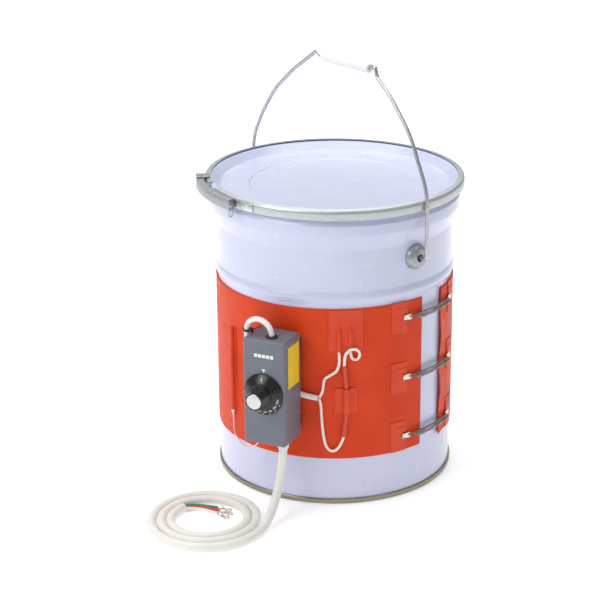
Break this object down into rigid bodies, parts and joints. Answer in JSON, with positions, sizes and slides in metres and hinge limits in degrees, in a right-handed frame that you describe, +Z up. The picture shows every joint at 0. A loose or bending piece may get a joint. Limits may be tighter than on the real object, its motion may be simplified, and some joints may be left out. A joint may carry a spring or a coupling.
{
  "type": "pail heater",
  "caption": "Steel pail with a clamped lid and wire bail, wrapped in a silicone heating band held by springs, with a thermostat box and a coiled supply cord.",
  "frame": {"origin": "on the pail's axis at the floor that its bottom rim stands on", "axes": "+Z up along the pail's axis; -Y is the front, towards the side with the heater leads; the thermostat box stands front left and the spring fastening right"},
  "size_m": [0.3769, 0.4246, 0.5148],
  "materials": {
    "white_lacquer": "gloss enamel",
    "tinplate": "satin",
    "zinc_steel": "satin zinc",
    "dark_rubber": "matt",
    "red_silicone": "matt with a fine cloth weave",
    "spring_steel": "bright",
    "white_sleeve": "matt",
    "grey_plastic": "fine grain",
    "black_plastic": "satin",
    "white_plastic": "satin",
    "bright_cap": "turned",
    "steel": "satin",
    "white_cable": "satin",
    "green_core": "satin",
    "red_core": "satin",
    "white_core": "satin",
    "tinned": "satin"
  },
  "bodies": {
    "pail": {"pail_body": "white_lacquer", "pail_bottom": "tinplate", "lid": "white_lacquer", "lid_gasket": "dark_rubber", "lock_ring": "zinc_steel", "latch_bracket": "zinc_steel", "ring_pins": "steel", "hook_bracket": "zinc_steel", "lever_catch": "zinc_steel", "ear_right": "zinc_steel", "ear_left": "zinc_steel", "heater_mat": "red_silicone", "hooks_left": "spring_steel", "hooks_right": "spring_steel", "lead_patch": "red_silicone", "fuse_pad": "red_silicone", "thermal_fuse": "steel", "sleeve_lower": "red_silicone", "sleeve_upper": "red_silicone", "upper_lead": "white_sleeve", "lower_lead": "white_sleeve", "fuse_lead": "white_sleeve", "sensor_pocket": "red_silicone", "sensor_capillary": "steel", "case_body": "grey_plastic", "case_back": "grey_plastic", "case_screws": "steel", "case_feet": "dark_rubber", "top_bushing": "dark_rubber", "cord_gland": "white_plastic", "thermostat_body": "steel", "terminal_block": "white_plastic", "output_cable": "white_cable", "cable_tie": "black_plastic", "mains_cord": "white_cable", "mains_cord_coil": "white_cable", "core_green": "green_core", "core_red": "red_core", "core_white": "white_core", "hook_pad_left_1": "red_silicone", "hook_pad_right_1": "red_silicone", "band_spring_1": "spring_steel", "hook_pad_left_2": "red_silicone", "hook_pad_right_2": "red_silicone", "band_spring_2": "spring_steel", "hook_pad_left_3": "red_silicone", "hook_pad_right_3": "red_silicone", "band_spring_3": "spring_steel", "ring_terminal_green": "tinned", "ring_terminal_red": "tinned", "ring_terminal_white": "tinned"},
    "bail": {"bail_wire": "zinc_steel"},
    "grip": {"bail_grip": "white_plastic"},
    "lever": {"latch_lever": "zinc_steel", "link_pin": "steel"},
    "link": {"hook_link": "zinc_steel"},
    "clip": {"clip_loop": "steel"},
    "knob": {"dial_knob": "black_plastic", "knob_cap": "bright_cap", "thermostat_spindle": "steel"}
  },
  "joints": [
    {"name": "bail_swing", "type": "hinge", "parent": "pail", "child": "bail", "pos_m": [0, 0, 0.3025], "axis": [0.6561, -0.7547, 0], "range_deg": [-130, 100]},
    {"name": "grip_spin", "type": "hinge", "parent": "bail", "child": "grip", "pos_m": [0.01342, -0.00556, 0.5089], "axis": [0.6561, -0.7547, 0], "continuous": true},
    {"name": "lever_swing", "type": "hinge", "parent": "pail", "child": "lever", "pos_m": [-0.16159, -0.01984, 0.36695], "axis": [0, 0, -1], "range_deg": [0, 110]},
    {"name": "link_swing", "type": "hinge", "parent": "lever", "child": "link", "pos_m": [-0.14939, -0.05144, 0.36695], "axis": [0, 0, 1], "range_deg": [0, 55]},
    {"name": "clip_swing", "type": "hinge", "parent": "lever", "child": "clip", "pos_m": [-0.11994, -0.11591, 0.36385], "axis": [-0.7191, -0.6949, 0], "range_deg": [-25, 25]},
    {"name": "knob_turn", "type": "hinge", "parent": "pail", "child": "knob", "pos_m": [-0.08742, -0.19094, 0.158], "axis": [0.4163, 0.9092, 0], "range_deg": [0, 265]}
  ],
  "couplings": [
    {"joint": "link_swing", "follows": "lever_swing", "ratio": 0.5}
  ]
}
